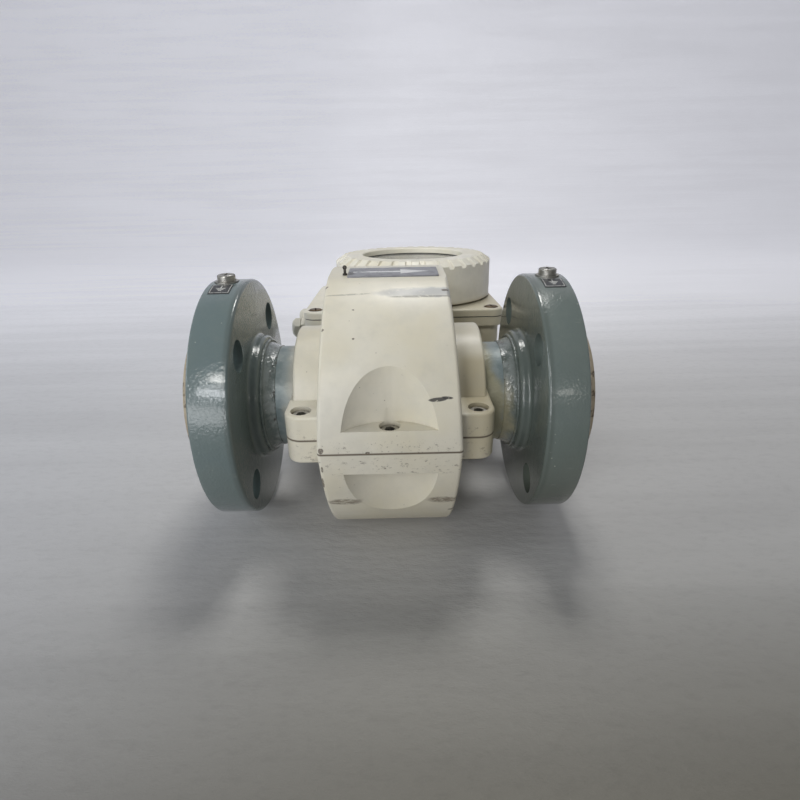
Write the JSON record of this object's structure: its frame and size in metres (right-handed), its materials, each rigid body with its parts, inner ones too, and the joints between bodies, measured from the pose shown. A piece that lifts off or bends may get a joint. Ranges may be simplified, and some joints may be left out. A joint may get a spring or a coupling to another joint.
{
  "type": "electromagnetic flow meter",
  "caption": "Flanged electromagnetic flow meter: a lined pipe run inside a split coil drum, with a square converter head that has round screw covers front and back.",
  "frame": {"origin": "on the pipe axis at the middle of the measuring tube", "axes": "+X along the pipe with the flow, +Y from the pipe to the converter head, +Z the way the display window looks; the meter lies on its back, on the drum and the rear cover"},
  "size_m": [0.243, 0.3068, 0.1687],
  "materials": {
    "cream_paint": "satin warm cream enamel, scuffed",
    "flange_paint": "glossy grey-green enamel with orange peel",
    "tube_paint": "blue-grey silvery paint",
    "lining": "tan moulded lining",
    "zinc": "dulled zinc plate",
    "stainless": "bright stainless",
    "iron": "dark steel",
    "copper": "enamelled copper wire",
    "bobbin": "natural plastic",
    "gasket": "black rubber",
    "label_black": "black printed film",
    "plate_grey": "grey anodised plate with a plain white arrow",
    "dark_wire": "burnt black",
    "glass": "clear toughened glass",
    "black_plastic": "black",
    "circuit_board": "green solder mask",
    "display": "grey-green display",
    "key_grey": "grey keys",
    "terminal_grey": "grey terminal plastic",
    "gland_paint": "off-white paint on metal"
  },
  "bodies": {
    "meter": {"measuring_tube": "tube_paint", "liner": "lining", "inlet_liner_flare": "lining", "outlet_liner_flare": "lining", "inlet_flange": "flange_paint", "outlet_flange": "flange_paint", "inlet_earth_screw": "zinc", "outlet_earth_screw": "zinc", "inlet_earth_washers": "zinc", "outlet_earth_washers": "zinc", "inlet_earth_label": "label_black", "outlet_earth_label": "label_black", "pole_shoes": "iron", "coil_cores": "iron", "coil_bobbins": "bobbin", "field_coils": "copper", "return_yoke": "iron", "electrodes": "stainless", "electrode_sleeves": "bobbin", "electrode_nuts": "stainless", "upper_shell": "cream_paint", "lower_shell": "cream_paint", "split_sheet": "gasket", "shell_bolts": "zinc", "tube_seals": "gasket", "arrow_plate": "plate_grey", "tag_stub": "dark_wire", "neck_flange": "stainless", "neck_gasket": "gasket", "neck_screws": "zinc", "converter_housing": "cream_paint", "plate_gasket": "gasket", "front_plate": "cream_paint", "plate_screws": "zinc", "board_pillars": "stainless", "power_board": "circuit_board", "main_board": "circuit_board", "display_board": "circuit_board", "display_bezel": "black_plastic", "display_module": "display", "display_keys": "key_grey", "transformer": "iron", "capacitors": "black_plastic", "terminal_block": "terminal_grey", "terminal_screws": "zinc", "front_gland_body": "gland_paint", "rear_gland_body": "gland_paint"},
    "front_cover_seal": {"front_seal": "gasket"},
    "front_cover": {"front_cover": "cream_paint", "window_glass": "glass", "glass_gasket": "gasket", "glass_retainer": "black_plastic"},
    "rear_cover_seal": {"rear_seal": "gasket"},
    "rear_cover": {"rear_cover": "cream_paint"},
    "front_gland_insert": {"front_gland_insert": "gasket"},
    "front_gland_nut": {"front_gland_nut": "gland_paint"},
    "rear_gland_insert": {"rear_gland_insert": "gasket"},
    "rear_gland_nut": {"rear_gland_nut": "gland_paint"}
  },
  "joints": [
    {"name": "front_cover_lift", "type": "slide", "parent": "meter", "child": "front_cover_seal", "axis": [0, 0.0523, 0.9986], "range_m": [0, 0.0101]},
    {"name": "front_cover_turn", "type": "hinge", "parent": "front_cover_seal", "child": "front_cover", "pos_m": [0.0212, 0.15502, 0.04638], "axis": [0, 0.0523, 0.9986], "range_deg": [0, 1800]},
    {"name": "rear_cover_lift", "type": "slide", "parent": "meter", "child": "rear_cover_seal", "axis": [0, -0.0523, -0.9986], "range_m": [0, 0.0101]},
    {"name": "rear_cover_turn", "type": "hinge", "parent": "rear_cover_seal", "child": "rear_cover", "pos_m": [0.0212, 0.14927, -0.06347], "axis": [0, -0.0523, -0.9986], "range_deg": [0, 1800]},
    {"name": "front_gland_lift", "type": "slide", "parent": "meter", "child": "front_gland_insert", "axis": [-1, 0, 0], "range_m": [0, 0.0031]},
    {"name": "front_gland_turn", "type": "hinge", "parent": "front_gland_insert", "child": "front_gland_nut", "pos_m": [-0.076, 0.0994, 0.01675], "axis": [-1, 0, 0], "range_deg": [0, 720]},
    {"name": "rear_gland_lift", "type": "slide", "parent": "meter", "child": "rear_gland_insert", "axis": [-1, 0, 0], "range_m": [0, 0.0031]},
    {"name": "rear_gland_turn", "type": "hinge", "parent": "rear_gland_insert", "child": "rear_gland_nut", "pos_m": [-0.076, 0.13732, 0.01426], "axis": [-1, 0, 0], "range_deg": [0, 720]}
  ],
  "couplings": [
    {"joint": "front_cover_lift", "follows": "front_cover_turn", "m_per_rad": 0.00031831},
    {"joint": "rear_cover_lift", "follows": "rear_cover_turn", "m_per_rad": 0.00031831},
    {"joint": "front_gland_lift", "follows": "front_gland_turn", "m_per_rad": 0.00023873},
    {"joint": "rear_gland_lift", "follows": "rear_gland_turn", "m_per_rad": 0.00023873}
  ]
}
